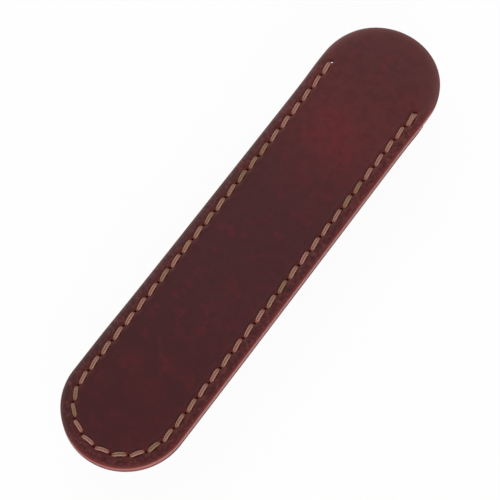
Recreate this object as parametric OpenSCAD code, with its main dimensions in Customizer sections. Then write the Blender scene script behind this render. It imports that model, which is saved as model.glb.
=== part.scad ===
// Single pen sleeve: a long flat back panel and a shorter front panel, formed over a pen,
// saddle-stitched together along both sides and round the closed end.
// It lies on the crest of the pen pocket with the back panel on top, as when put down on its face.
// X runs across the sleeve, +Y along it to the open end, +Z up. All sizes are in millimetres.

/* [Panels] */
// Length of the back panel, from end to end
sleeve_length = 165; // [140:1:200]
// Width of both panels
sleeve_width = 37.4; // [36:0.2:46]
// Thickness of the back panel's leather
back_thickness = 1.6; // [1.2:0.1:2.4]
// Thickness of the front panel's leather
front_thickness = 1.6; // [1.2:0.1:2.4]
// Straight stretch of the back panel between the pocket's mouth and its own round end
mouth_drop = 3.8; // [3:0.1:20]
// Radius of the burnished edges
edge_radius = 0.4; // [0.2:0.05:0.55]

/* [Pen pocket] */
// Thickest pen that the pocket takes
pen_diameter = 12; // [8:0.5:13]
// Height of the pocket over the pen's own diameter
pen_play = 0.4; // [0.2:0.1:1]
// Width of the flat crest that the sleeve lies on
crest_width = 4; // [3:0.5:5]
// Outside radius where the pocket's wall turns out into the flat rim
rim_bend_radius = 1.5; // [1:0.1:2]
// Width of the flat rim that the seam runs in
rim_width = 5.5; // [5:0.1:6.5]

/* [Seam] */
// Distance from the edge of the panels to the seam
seam_inset = 3.6; // [3:0.1:4]
// Length of one stitch, before the seam is divided evenly
stitch_length = 5.5; // [4:0.1:7]
// How far the end holes lie past the mouth, in the back panel alone
end_hole_reach = 1.5; // [1.2:0.1:2.5]
// Diameter of the thread where it lies on the leather
thread_diameter = 0.9; // [0.6:0.05:1]
// Share of its diameter that the thread keeps where a hole squeezes it
thread_squeeze = 0.66; // [0.55:0.01:0.75]
// Slant of the pricked holes across the seam, in degrees
slit_slant = 25; // [10:1:35]
// Clearance between the thread and what it lies on or passes
thread_clearance = 0.04; // [0.02:0.01:0.1]
// Play of the squeezed thread in its hole
hole_play = 0.1; // [0.08:0.01:0.2]
// Length of the trimmed tails under the leather
tail_length = 0.5; // [0.3:0.1:1]

/* [Hidden] */
$fn = 96;

leather_colour = [0.30, 0.16, 0.17];
thread_colour = [0.56, 0.42, 0.32];
arc_steps = 8;    // chords in each bend of the formed section
edge_steps = 3;   // chords in each burnished corner
slit_steps = 4;   // chords in each round end of a slit
cut_margin = 1;   // how far a cut runs past the faces it opens
thread_sides = 6;

// Both panels share one outline: straight sides with a half-round end.
end_radius = sleeve_width / 2;
end_centre = sleeve_length / 2 - end_radius;
mouth_y = end_centre - mouth_drop;

// Heights, from the crest that the sleeve lies on
pocket_depth = pen_diameter + pen_play;
joint_z = front_thickness + pocket_depth;  // where the two panels meet
rim_z = joint_z - front_thickness;         // outer face of the front panel's rim
back_z = joint_z + back_thickness;         // outer face of the back panel

// Formed section: a crest arc and a rim bend, joined by a straight wall that is tangent to both.
crest_half = crest_width / 2;
crest_radius = pen_diameter / 2;
rim_edge = end_radius - rim_width;
bend_sum = crest_radius + rim_bend_radius + front_thickness;
wall_angle = asin(bend_sum / norm([rim_edge - crest_half, bend_sum - pocket_depth]))
    - atan2(bend_sum - pocket_depth, rim_edge - crest_half);

// Seam: down the left side, round the closed end and up the right side, in equal stitches.
seam_radius = end_radius - seam_inset;
end_hole_y = mouth_y + end_hole_reach;
side_length = end_hole_y + end_centre;
seam_length = 2 * side_length + PI * seam_radius;
stitch_count = 2 * round(seam_length / stitch_length / 2);
stitch_pitch = seam_length / stitch_count;

// Thread: two strands cross in every hole, one going down at its inner end, one coming up at its outer end.
// pass_offset is how far each passes from the hole's middle, and half the hole's width.
lay_radius = thread_diameter / 2;
hole_radius = lay_radius * thread_squeeze;
lay_height = lay_radius * cos(180 / thread_sides) + thread_clearance;
pass_offset = hole_radius + hole_play;
strand_step = (thread_diameter + thread_clearance) / cos(slit_slant) + thread_clearance;

function unit(v) = v / norm(v);
function arc(centre, radius, from, to, steps) =
    [for (i = [0:steps]) let (a = from + (to - from) * i / steps) centre + radius * [cos(a), sin(a)]];
// A whole outline from its right half
function mirrored(half) =
    concat(half, [for (i = [len(half) - 1:-1:0]) let (p = half[i]) if (p[0] > 0) [-p[0], p[1]]]);

// Rounded edge of a panel between two heights, from its lower face to its upper one
function burnished_edge(low, high) = concat(
    arc([end_radius - edge_radius, low + edge_radius], edge_radius, -90, 0, edge_steps),
    arc([end_radius - edge_radius, high - edge_radius], edge_radius, 0, 90, edge_steps));

function back_section() = concat([[0, joint_z]], burnished_edge(joint_z, back_z), [[0, back_z]]);

function front_section() =
    let (
        crest_centre = [crest_half, front_thickness + crest_radius],
        rim_centre = [rim_edge, rim_z - rim_bend_radius])
    concat(
        [[0, 0]],
        arc(crest_centre, crest_radius + front_thickness, -90, wall_angle - 90, arc_steps),
        arc(rim_centre, rim_bend_radius, 90 + wall_angle, 90, arc_steps),
        burnished_edge(rim_z, joint_z),
        arc(rim_centre, rim_bend_radius + front_thickness, 90, 90 + wall_angle, arc_steps),
        arc(crest_centre, crest_radius, wall_angle - 90, -90, arc_steps),
        [[0, front_thickness]]);

// Holes are numbered along the seam, from 0 on the left of the mouth to stitch_count on its right.
function on_bend(k) = k * stitch_pitch > side_length && k * stitch_pitch < side_length + PI * seam_radius;
function bend_turn(k) = 180 + (k * stitch_pitch - side_length) / seam_radius * 180 / PI;
function inward(k) =
    on_bend(k) ? -[cos(bend_turn(k)), sin(bend_turn(k))]
    : k * stitch_pitch <= side_length ? [1, 0] : [-1, 0];
function hole(k) =
    on_bend(k) ? [0, -end_centre] - seam_radius * inward(k)
    : [-inward(k)[0] * seam_radius, end_hole_y - min(k, stitch_count - k) * stitch_pitch];
function slit_direction(k) =
    let (n = inward(k)) n * cos(slit_slant) - [n[1], -n[0]] * sin(slit_slant);
function slit_turn(k) = atan2(slit_direction(k)[1], slit_direction(k)[0]);
function pass(k, across) = hole(k) + across * slit_direction(k);

// The last hole spreads both strands, because one turns back there beside the other.
// The hole before it is cut longer, because that strand goes down again through it.
last_offset = strand_step / 2;
function up_offset(k) = k == stitch_count ? -last_offset : -pass_offset;
function down_offset(k) = k == 0 ? -pass_offset : k == stitch_count ? last_offset : pass_offset;
return_offset = up_offset(stitch_count - 1) - strand_step;
function slit_start(k) = k == stitch_count - 1 ? return_offset : min(up_offset(k), -pass_offset);
function slit_end(k) = max(down_offset(k), pass_offset);

// A ring of the thread is [centre, direction, sideways, radius]. Its corners turn round the direction.
function ring(p, z, direction, across, radius) = [[p[0], p[1], z], unit(direction), across, radius];
function corners(r) =
    let (upward = cross(r[1], r[2]))
    [for (i = [0:thread_sides - 1])
        let (a = 360 * i / thread_sides) r[0] + r[3] * (cos(a) * r[2] + sin(a) * upward)];
function left_of(way) = [-way[1], way[0], 0];
// The same rings, travelled the other way
function backward(rings) = [for (i = [len(rings) - 1:-1:0]) let (r = rings[i]) [r[0], -r[1], r[2], r[3]]];

// Out of the hole at p and along way, on the face at z. side is 1 on an upper face and -1 on a lower one.
function leave_hole(p, way, z, side, across) =
    let (
        turn = lay_radius,
        lift = turn * (1 - cos(45)),
        run_z = z + side * lay_height,
        mid_radius = (hole_radius + lay_radius) / 2)
    [
        ring(p, run_z - side * turn, [0, 0, side], across, hole_radius),
        ring(p + lift * way, run_z - side * lift, [way[0], way[1], side], across, mid_radius),
        ring(p + turn * way, run_z, [way[0], way[1], 0], across, lay_radius)
    ];
function enter_hole(p, way, z, side, across) = backward(leave_hole(p, -way, z, side, across));

// Out of an end hole under the back panel, round the mouth's edge of the front panel and under its rim.
// The strand crosses that edge at a slant, which brings its sides nearer, so it keeps that much more off.
function round_mouth(p, way, across) =
    let (
        reach = (p[1] - mouth_y) / abs(way[1]),
        fall = atan2(front_thickness, reach - lay_radius),
        gap = lay_radius * (1 + abs(way[0])) + thread_clearance,
        lead = hole_radius / 2,
        heading = function (a) [way[0] * cos(a), way[1] * cos(a), -sin(a)])
    concat(
        [
            ring(p, joint_z + hole_play, [0, 0, -1], across, hole_radius),
            ring(p + lead * way, joint_z - lay_radius, heading(fall), across, hole_radius)
        ],
        [for (a = [fall, fall / 2, 0])
            ring(p + way * (reach - gap * sin(a)), rim_z - gap * cos(a), heading(a), across, lay_radius)]);

// One stitch over or under the leather, from hole k to the next
function upper_stitch(k) =
    let (
        from = pass(k, up_offset(k)),
        to = pass(k + 1, down_offset(k + 1)),
        way = unit(to - from),
        across = left_of(way))
    concat(leave_hole(from, way, back_z, 1, across), enter_hole(to, way, back_z, 1, across));
function lower_stitch(k) =
    let (
        from = pass(k, down_offset(k)),
        to = pass(k + 1, up_offset(k + 1)),
        way = unit(to - from),
        across = left_of(way),
        first = k == 0,
        last = k == stitch_count - 1)
    concat(
        first ? round_mouth(from, way, across) : leave_hole(from, way, rim_z, -1, across),
        last ? backward(round_mouth(to, -way, across)) : enter_hole(to, way, rim_z, -1, across));
// The last stitch again, beside itself and back to the hole before
function return_stitch() =
    let (
        from = pass(stitch_count, up_offset(stitch_count)),
        to = pass(stitch_count - 1, return_offset),
        way = unit(to - from),
        across = -left_of(way))
    concat(leave_hole(from, way, back_z, 1, across), enter_hole(to, way, back_z, 1, across));
function tail(rings, z) = let (r = rings[len(rings) - 1]) [ring(r[0], z, [0, 0, -1], r[2], hole_radius)];

// A strand works along the whole seam and lies on top in every second stitch, odd or even.
function strand(odd) =
    [for (k = [0:stitch_count - 1]) each (k % 2 == odd ? upper_stitch(k) : lower_stitch(k))];
first_strand = let (s = concat(strand(0), return_stitch())) concat(s, tail(s, rim_z - tail_length));
second_strand = let (s = strand(1)) concat(s, tail(s, joint_z - tail_length));

module panel(section, open_end, round_both) {
    translate([0, open_end, 0])
        rotate([90, 0, 0])
            linear_extrude(open_end + end_centre) polygon(mirrored(section));
    translate([0, -end_centre, 0])
        rotate_extrude(angle = 180, start = 180) polygon(section);
    if (round_both)
        translate([0, open_end, 0])
            rotate_extrude(angle = 180) polygon(section);
}

// Pricked slits for the stitches, from hole number first to number last
module slits(first, last, low, high) {
    for (k = [first:last])
        translate([hole(k)[0], hole(k)[1], low])
            rotate(slit_turn(k))
                linear_extrude(high - low)
                    polygon(concat(
                        arc([slit_start(k), 0], pass_offset, 90, 270, slit_steps),
                        arc([slit_end(k), 0], pass_offset, -90, 90, slit_steps)));
}

module back_panel() {
    color(leather_colour)
        difference() {
            panel(back_section(), end_centre, true);
            slits(0, stitch_count, joint_z - cut_margin, back_z + cut_margin);
        }
}

module front_panel() {
    color(leather_colour)
        difference() {
            panel(front_section(), mouth_y, false);
            slits(1, stitch_count - 1, rim_z - cut_margin, joint_z + cut_margin);
        }
}

// One waxed thread: both strands, joined through the first hole
module saddle_thread() {
    rings = concat(backward(second_strand), first_strand);
    last = len(rings) - 1;
    n = thread_sides;
    skin = [for (j = [0:last - 1], i = [0:n - 1])
        let (a = j * n + i, b = j * n + (i + 1) % n)
        each [[a, a + n, b + n], [a, b + n, b]]];
    ends = [[for (i = [0:n - 1]) i], [for (i = [n - 1:-1:0]) last * n + i]];
    color(thread_colour)
        polyhedron([for (r = rings) each corners(r)], concat(skin, ends));
}

back_panel();
front_panel();
saddle_thread();
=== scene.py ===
"""Looks of the single pen sleeve: two panels of waxed pull-up leather and the thread that joins them.

The sleeve lies on the crest of its pen pocket with the plain back panel on top. X runs across it, +Y
along it to the open end and +Z up. Shapes are worked out in millimetres and stored in metres.
"""

import logging
from dataclasses import dataclass, replace
from enum import Enum
from functools import cached_property
from math import inf, radians
from typing import Any

import bmesh
import bpy
import numpy as np
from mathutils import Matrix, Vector


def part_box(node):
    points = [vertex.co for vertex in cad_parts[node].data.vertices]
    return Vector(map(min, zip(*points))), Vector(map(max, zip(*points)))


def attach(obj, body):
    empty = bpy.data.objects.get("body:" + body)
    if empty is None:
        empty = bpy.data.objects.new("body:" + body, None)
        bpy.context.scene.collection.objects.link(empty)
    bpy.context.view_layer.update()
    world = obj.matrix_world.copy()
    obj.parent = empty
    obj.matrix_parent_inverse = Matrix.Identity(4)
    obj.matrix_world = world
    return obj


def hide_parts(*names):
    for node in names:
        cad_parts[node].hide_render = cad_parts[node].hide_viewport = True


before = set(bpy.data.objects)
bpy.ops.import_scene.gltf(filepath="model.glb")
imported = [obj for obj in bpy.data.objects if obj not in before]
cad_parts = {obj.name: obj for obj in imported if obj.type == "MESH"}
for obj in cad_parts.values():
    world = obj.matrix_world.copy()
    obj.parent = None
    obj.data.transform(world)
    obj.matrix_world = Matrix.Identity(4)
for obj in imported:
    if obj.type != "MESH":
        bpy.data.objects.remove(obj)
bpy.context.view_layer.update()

MM = 0.001
SEED = 7
# Points closer than this, in millimetres, are welded.
WELD = 1e-4
# Stands in for a length of nothing where something is divided by it.
NO_LENGTH = 1e-9
# After this many of its spreads a bell has died away.
BELL_REACH = 3.0
log = logging.getLogger("pen_sleeve")


class Side(Enum):
    """Which face of the seam a stitch lies on."""

    UPPER = 1
    LOWER = -1


class Way(Enum):
    """Which way a strand passes a hole, going along the seam from the left of the mouth."""

    UP = -1
    DOWN = 1


def smoothstep(low: float, high: float, value: np.ndarray) -> np.ndarray:
    """Goes smoothly from 0 at low to 1 at high.

    Args:
        low: Where the step starts.
        high: Where it ends.
        value: Values to map.
    Returns:
        t * t * (3 - 2 t), with t the share of the way from low to high.
    """
    t = np.clip((value - low) / (high - low), 0.0, 1.0)
    return t * t * (3.0 - 2.0 * t)


@dataclass(frozen=True)
class Fade:
    """A smooth change from the value at_low, at low, to the value at_high, at high."""

    low: float
    high: float
    at_low: float = 0.0
    at_high: float = 1.0

    def of(self, value: np.ndarray) -> np.ndarray:
        """The change at some values: at_low + (at_high - at_low) times a smooth step."""
        return self.at_low + (self.at_high - self.at_low) * smoothstep(self.low, self.high, value)

    def moved(self, by: float) -> "Fade":
        """The same change, begun and ended that much further on."""
        return replace(self, low=self.low + by, high=self.high + by)

    def in_metres(self) -> "Fade":
        """The same change, with its begin and end turned from millimetres to metres."""
        return replace(self, low=self.low * MM, high=self.high * MM)


@dataclass(frozen=True)
class Speckle:
    """Noise whose features are size millimetres wide, with finer layers: how many and how strong."""

    size: float
    layers: float
    strength: float


def bell(distance: np.ndarray, spread: float) -> np.ndarray:
    """A bell that is 1 at distance 0: exp(-(distance / spread)^2)."""
    return np.exp(-((distance / spread) ** 2))


@dataclass(frozen=True)
class Spot:
    """A spot on the sleeve, in millimetres: its middle and its reach. It is strongest in its middle."""

    x: float
    y: float
    reach: float
    strength: float

    def at(self, x: np.ndarray, y: np.ndarray) -> np.ndarray:
        """Its strength at some places, dying away as a bell of the distance from its middle."""
        return self.strength * bell(np.hypot(x - self.x, y - self.y), self.reach)


def distance_to_segments(points: np.ndarray, starts: np.ndarray, ends: np.ndarray) -> np.ndarray:
    """Distance in the plane from each point to the nearest of some segments.

    Args:
        points: Array (n, 2).
        starts: Array (m, 2) of the segments' starts.
        ends: Array (m, 2) of their ends.
    Returns:
        Array (n,), the least distance of each point to start + t (end - start), with t in 0 to 1.
    """
    nearest = np.full(len(points), np.inf)
    for start, end in zip(starts, ends):
        run = end - start
        offset = points - start
        share = np.clip(offset @ run / max(run @ run, NO_LENGTH), 0.0, 1.0)
        gap = np.linalg.norm(offset - share[:, None] * run, axis=1)
        nearest = np.minimum(nearest, gap)
    return nearest


@dataclass(frozen=True)
class Wave:
    """One slow wave of a hand-made strap.

    Its share of the whole, the millimetres across and along in which it goes on by one radian, and its
    phase in radians.
    """

    share: float
    across: float
    along: float
    phase: float


WAVES = (
    Wave(share=0.45, across=inf, along=17.0, phase=0.6),
    Wave(share=0.30, across=21.0, along=9.3, phase=2.1),
    Wave(share=0.25, across=7.9, along=-31.0, phase=0.9),
)


def undulation(x: np.ndarray, y: np.ndarray) -> np.ndarray:
    """Slow waves of a hand-made strap: the sum of share sin(y / along + x / across + phase).

    Args:
        x: Places across, in millimetres.
        y: Places along, in millimetres.
    Returns:
        Heights between about -1 and 1.
    """
    return sum(wave.share * np.sin(y / wave.along + x / wave.across + wave.phase) for wave in WAVES)


@dataclass(frozen=True)
class SleeveSizes:
    """Sizes of the leather in millimetres.

    What the frame's boxes hold is read from them. Then come the part's other sizes, and from edge_swell
    on, what burnishing, wear and handwork do to the leather.
    """

    half_width: float
    half_length: float
    mouth_y: float
    joint_z: float
    back_z: float
    front_thickness: float = 1.6
    pen_radius: float = 6.0
    crest_half: float = 2.0
    rim_width: float = 5.5
    rim_bend: float = 1.5
    edge_radius: float = 0.40
    edge_swell: float = 0.22
    edge_dome: float = 0.03
    edge_drop: float = 0.34
    edge_reach: float = 0.9
    wave_height: float = 0.08
    tongue_lift: float = 0.20
    bow: float = 0.20
    mouth_swell: float = 0.26
    mouth_swell_reach: float = 7.0
    aside: float = -0.15
    stretch: float = 0.06
    front_proud: float = 0.02
    corner_ease: float = 0.12
    corner_length: float = 4.0
    cut_by_hand: tuple[Spot, ...] = (
        Spot(-13.2, 77.0, 9.0, 0.18),
        Spot(-12.0, -79.0, 9.0, -0.15),
        Spot(-18.7, -50.0, 9.0, 0.10),
    )

    @classmethod
    def from_frame(cls) -> "SleeveSizes":
        """Reads the panels' boxes in the frame.

        Returns:
            The sizes.
        """
        back_low, back_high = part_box("back_panel")
        front_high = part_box("front_panel")[1]
        return cls(
            half_width=back_high.x / MM,
            half_length=back_high.y / MM,
            mouth_y=front_high.y / MM,
            joint_z=back_low.z / MM,
            back_z=back_high.z / MM,
        )

    @property
    def centre_y(self) -> float:
        """Distance from the middle to the centre of a round end."""
        return self.half_length - self.half_width

    @property
    def rim_z(self) -> float:
        """Height of the outer face of the front panel's rim."""
        return self.joint_z - self.front_thickness

    @property
    def edge(self) -> float:
        """Distance of the burnished edge from the middle line. Burnishing spreads it past the cut."""
        return self.half_width + self.edge_swell

    def from_edge(self, points: np.ndarray) -> np.ndarray:
        """Distance of points (n, 2 or 3) inwards from the burnished edge, seen from above."""
        past = np.maximum(np.abs(points[:, 1]) - self.centre_y, 0.0)
        return self.edge - np.hypot(points[:, 0], past)

    def drape(self, points: np.ndarray) -> np.ndarray:
        """Moves points as the strap's slow waves, its slight bow and its lifted tongue do.

        A point rises by wave_height times the undulation, fading to nothing at the crest that the sleeve
        lies on. Past the mouth it also rises with the square of its distance from it. The whole strap is
        bowed sideways by a cosine of its length, lies a little aside, is spread near the mouth by a bell
        of the distance to it, and is stretched a little. At the spots where the outline was cut a little
        full or scant by hand, points move out or in with their share of the half width.

        Args:
            points: Array (n, 3).
        Returns:
            The moved points.
        """
        moved = points.copy()
        x, y, z = points.T
        free = np.clip((y - self.mouth_y) / (self.half_length - self.mouth_y), 0.0, 1.0)
        share = np.clip(z / self.joint_z, 0.0, 1.0)
        near_mouth = bell(y - self.mouth_y, self.mouth_swell_reach)
        moved[:, 0] *= 1.0 + self.mouth_swell / self.half_width * near_mouth
        moved[:, 0] += self.bow * np.cos(np.pi * y / (2.0 * self.half_length)) + self.aside
        moved[:, 1] *= 1.0 + self.stretch / self.half_length
        for spot in self.cut_by_hand:
            fuller = spot.at(x, y) / self.half_width
            moved[:, 0] += fuller * x
            moved[:, 1] += fuller * (y - y.clip(-self.centre_y, self.centre_y))
        moved[:, 2] += share * self.wave_height * undulation(x, y) + self.tongue_lift * free**2
        return moved


@dataclass(frozen=True)
class Relief:
    """What the tight seam does to the leather at some points, as arrays (n,)."""

    depth: np.ndarray
    hole: np.ndarray
    stain: np.ndarray


@dataclass(frozen=True)
class Seam:
    """The saddle-stitched seam: where its holes are and how the strands lie in them, in millimetres."""

    sizes: SleeveSizes
    inset: float = 3.6
    end_reach: float = 1.5
    stitches: int = 54
    crowding: float = 0.92
    aside: float = -0.15
    slant: float = 25.0
    pass_offset: float = 0.37
    last_offset: float = 0.48
    return_step: float = 0.42
    slit_half_width: float = 0.28
    first_half_width: float = 0.58
    slit_sides: int = 20
    slit_point: float = 0.7
    slit_bluntness: float = 0.2
    hole_depth: float = 0.36
    hole_spread: float = 0.46
    bed_depth: float = 0.13
    bed_spread: float = 0.66
    stain_spread: float = 1.15
    lip_height: float = 0.05
    lip_distance: float = 1.30
    lip_spread: float = 0.50

    @property
    def radius(self) -> float:
        """Radius of the seam round the closed end."""
        return self.sizes.half_width - self.inset

    @cached_property
    def _layout(self) -> tuple[np.ndarray, np.ndarray]:
        """Holes (n, 2) and the directions (n, 2) of their slits, from outer to inner end.

        Round the closed end a stitch takes only the crowding times the length that it has on the straight
        sides, as the holes were pricked. The whole seam lies a little aside of the middle.

        Returns:
            Holes and directions.
        """
        side = self.sizes.mouth_y + self.end_reach + self.sizes.centre_y
        arc = np.pi * self.radius
        length = 2.0 * side + arc
        even = np.linspace(0.0, 2.0 * side + arc / self.crowding, self.stitches + 1)
        along = even - (1.0 - self.crowding) * np.clip(even - side, 0.0, arc / self.crowding)
        turn = np.pi + np.clip((along - side) / self.radius, 0.0, np.pi)
        inward = -np.stack([np.cos(turn), np.sin(turn)], axis=1)
        straight = np.maximum(side - along, along - (length - side)).clip(0.0)
        holes = -self.radius * inward
        holes += np.stack([np.full(len(along), self.aside), straight - self.sizes.centre_y], axis=1)
        slant = radians(self.slant)
        beside = np.stack([inward[:, 1], -inward[:, 0]], axis=1)
        return holes, inward * np.cos(slant) - beside * np.sin(slant)

    def offsets(self, way: Way) -> np.ndarray:
        """How far along its slit each hole is passed by the strand that goes up or down in it.

        Args:
            way: Which strand.
        Returns:
            Array (n,), positive towards the slit's inner end.
        """
        offset = np.full(self.stitches + 1, way.value * self.pass_offset)
        offset[-1] = way.value * self.last_offset
        if way is Way.DOWN:
            offset[0] = -self.pass_offset
        return offset

    def at(self, hole: int, offset: float) -> np.ndarray:
        """Point of a slit at some offset from its middle, array (2,)."""
        holes, direction = self._layout
        return holes[hole] + offset * direction[hole]

    def passes(self, way: Way) -> np.ndarray:
        """Points where the strand that goes up or down passes the holes, array (n, 2)."""
        holes, direction = self._layout
        return holes + self.offsets(way)[:, None] * direction

    def slit_ends(self) -> tuple[np.ndarray, np.ndarray]:
        """Where the slits begin and end.

        Returns:
            Outer and inner ends of their middle lines, arrays (n, 2).
        """
        holes, direction = self._layout
        outer = self.offsets(Way.UP)
        outer[-2] -= self.return_step
        inner = np.maximum(self.offsets(Way.DOWN), self.pass_offset)
        return holes + outer[:, None] * direction, holes + inner[:, None] * direction

    def stitch_ends(self, side: Side) -> tuple[np.ndarray, np.ndarray]:
        """Where the stitches on one face begin and end.

        The doubled last stitch comes last among those of the upper face. It runs backwards.

        Args:
            side: The face.
        Returns:
            Starts and ends, arrays (m, 2).
        """
        first, then = (Way.UP, Way.DOWN) if side is Side.UPPER else (Way.DOWN, Way.UP)
        starts, ends = self.passes(first)[:-1], self.passes(then)[1:]
        if side is Side.UPPER:
            starts = np.vstack([starts, self.at(self.stitches, -self.last_offset)])
            ends = np.vstack([ends, self.at(self.stitches - 1, -self.pass_offset - self.return_step)])
        return starts, ends

    def gap_to_line(self, points: np.ndarray) -> np.ndarray:
        """Distance from each point (n, 2) to the seam's own line, its ends carried on straight."""
        past = np.minimum(points[:, 1] + self.sizes.centre_y, 0.0)
        return np.abs(np.hypot(points[:, 0] - self.aside, past) - self.radius)

    def relief(self, points: np.ndarray, side: Side) -> Relief:
        """How far the tight thread presses the leather in, and where.

        Round a slit the leather goes in by hole_depth times a bell of the distance to it, and under a
        stitch by bed_depth times a bell of the distance to that, whichever is deeper. Beside the stitches
        it swells by a low lip of the same form.

        Args:
            points: Array (n, 2).
            side: The face.
        Returns:
            Depths in millimetres, positive into the leather, and masks of the holes and the wax stains.
        """
        depth, hole, stain = np.zeros((3, len(points)))
        near = self.gap_to_line(points) < self.lip_distance + BELL_REACH * self.lip_spread
        if near.any():
            to_stitch = distance_to_segments(points[near], *self.stitch_ends(side))
            hole[near] = bell(distance_to_segments(points[near], *self.slit_ends()), self.hole_spread)
            stain[near] = bell(to_stitch, self.stain_spread)
            lip = bell(to_stitch - self.lip_distance, self.lip_spread)
            bed = self.bed_depth * bell(to_stitch, self.bed_spread)
            depth[near] = np.maximum(self.hole_depth * hole[near], bed) - self.lip_height * lip
        return Relief(depth, hole, stain)

    def awl(self, low: float, high: float, holes: slice) -> bpy.types.Mesh:
        """The awl's marks as closed prisms, for cutting the slits.

        Each is a pointed oval round its middle line, longer than it by slit_point of the half width at
        each end. With turn going round, it reaches cos(turn) |cos(turn)|^slit_bluntness of the half
        length along it and sin(turn) of the half width across it.

        Args:
            low: Lowest height of the prisms, in millimetres.
            high: Highest.
            holes: Which of the slits.
        Returns:
            A mesh, in metres.
        """
        sides = self.slit_sides
        turn = np.linspace(0.0, 2.0 * np.pi, sides, endpoint=False)
        outer, inner = self.slit_ends()
        width = np.full(len(outer), self.slit_half_width)
        width[0] = self.first_half_width
        outer, inner, width = outer[holes], inner[holes], width[holes, None]
        middle, half = (outer + inner) / 2.0, (inner - outer) / 2.0
        length = np.linalg.norm(half, axis=1, keepdims=True)
        along = half / length
        beside = np.stack([-along[:, 1], along[:, 0]], axis=1)
        reach = length + self.slit_point * width
        lengthwise = (reach * np.cos(turn) * np.abs(np.cos(turn)) ** self.slit_bluntness)[:, :, None]
        sideways = (width * np.sin(turn))[:, :, None]
        ring = middle[:, None] + lengthwise * along[:, None] + sideways * beside[:, None]
        floor = np.concatenate([ring, np.full(ring.shape[:2] + (1,), low)], axis=2)
        lid = np.concatenate([ring, np.full(ring.shape[:2] + (1,), high)], axis=2)
        points = np.stack([floor, lid], axis=1).reshape(-1, 3)
        first = 2 * sides * np.arange(len(ring))[:, None]
        i = np.arange(sides)[None, :]
        j = (i + 1) % sides
        walls = np.stack([first + i, first + j, first + sides + j, first + sides + i], axis=2)
        faces = walls.reshape(-1, 4).tolist() + (first + i[:, ::-1]).tolist() + (first + sides + i).tolist()
        mesh = bpy.data.meshes.new("awl")
        mesh.from_pydata((points * MM).tolist(), [], faces)
        return mesh


def closed_mesh(name: str, points: np.ndarray, quads: np.ndarray) -> bpy.types.Mesh:
    """Makes a closed, outward-facing mesh from points and quads. Points that coincide are welded.

    Args:
        name: The mesh's name.
        points: Array (n, 3) in millimetres.
        quads: Array (m, 4) of point numbers. Quads that the weld narrows become triangles.
    Returns:
        The mesh, in metres.
    """
    grid = np.round(points / WELD).astype(np.int64)
    _, index, inverse = np.unique(grid, axis=0, return_index=True, return_inverse=True)
    faces = inverse.reshape(-1)[quads]
    kept = faces != np.roll(faces, -1, axis=1)
    corners = kept.sum(axis=1)
    triangles = faces[corners == 3][kept[corners == 3]].reshape(-1, 3)
    mesh = bpy.data.meshes.new(name)
    mesh.from_pydata((points[index] * MM).tolist(), [], faces[corners == 4].tolist() + triangles.tolist())
    face_outwards(mesh)
    return mesh


def face_outwards(mesh: bpy.types.Mesh) -> None:
    """Turns the faces of a closed mesh outwards.

    Args:
        mesh: The mesh, changed in place.
    """
    shell = bmesh.new()
    shell.from_mesh(mesh)
    bmesh.ops.recalc_face_normals(shell, faces=shell.faces)
    shell.to_mesh(mesh)
    shell.free()


def grid_quads(rows: int, columns: int, closed_rows: bool, closed_columns: bool) -> np.ndarray:
    """Quads of a grid of points that are numbered row by row.

    Args:
        rows: Number of rows.
        columns: Number of points in a row.
        closed_rows: Whether the last row joins the first.
        closed_columns: Whether each row's last point joins its first.
    Returns:
        Array (m, 4) of point numbers.
    """
    row = np.arange(rows if closed_rows else rows - 1)
    column = np.arange(columns if closed_columns else columns - 1)
    a, b = np.meshgrid(row, column, indexing="ij")
    c, d = (a + 1) % rows, (b + 1) % columns
    corners = [a * columns + b, c * columns + b, c * columns + d, a * columns + d]
    return np.stack([corner.reshape(-1) for corner in corners], axis=1)


def mesh_points(mesh: bpy.types.Mesh) -> np.ndarray:
    """Reads a mesh's points.

    Args:
        mesh: The mesh.
    Returns:
        Array (n, 3) in millimetres.
    """
    flat = np.empty(len(mesh.vertices) * 3)
    mesh.vertices.foreach_get("co", flat)
    return flat.reshape(-1, 3) / MM


def set_points(mesh: bpy.types.Mesh, points: np.ndarray) -> None:
    """Writes points (n, 3), in millimetres, into the mesh."""
    mesh.vertices.foreach_set("co", (points * MM).reshape(-1))
    mesh.update()


def set_numbers(mesh: bpy.types.Mesh, name: str, values: np.ndarray) -> None:
    """Stores one number per point under a name that a material reads."""
    layer = mesh.attributes.new(name, "FLOAT", "POINT")
    layer.data.foreach_set("value", values.astype(np.float32))


def set_vectors(mesh: bpy.types.Mesh, name: str, values: np.ndarray) -> None:
    """Stores one vector per point under a name that a material reads."""
    layer = mesh.attributes.new(name, "FLOAT_VECTOR", "POINT")
    layer.data.foreach_set("vector", values.astype(np.float32).reshape(-1))


def shade_smooth(mesh: bpy.types.Mesh, crease: float) -> None:
    """Shades the mesh smooth, except where faces meet at more than crease degrees."""
    mesh.polygons.foreach_set("use_smooth", np.ones(len(mesh.polygons), dtype=bool))
    mesh.set_sharp_from_angle(angle=radians(crease))


def cut(mesh: bpy.types.Mesh, cutter_mesh: bpy.types.Mesh) -> bpy.types.Mesh:
    """Cuts one closed mesh out of another. Both are replaced by the result.

    Args:
        mesh: What is cut.
        cutter_mesh: What is cut out of it.
    Returns:
        The result, under the first one's name.
    """
    name = mesh.name
    cutter = bpy.data.objects.new("cutter", cutter_mesh)
    blank = bpy.data.objects.new("blank", mesh)
    for item in (cutter, blank):
        bpy.context.scene.collection.objects.link(item)
    modifier = blank.modifiers.new("cut", "BOOLEAN")
    modifier.operation = "DIFFERENCE"
    modifier.solver = "EXACT"
    modifier.object = cutter
    result = bpy.data.meshes.new_from_object(blank.evaluated_get(bpy.context.evaluated_depsgraph_get()))
    for item in (cutter, blank):
        bpy.data.objects.remove(item)
    for used in (cutter_mesh, mesh):
        bpy.data.meshes.remove(used)
    result.name = name
    result.materials.clear()
    return result


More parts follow.
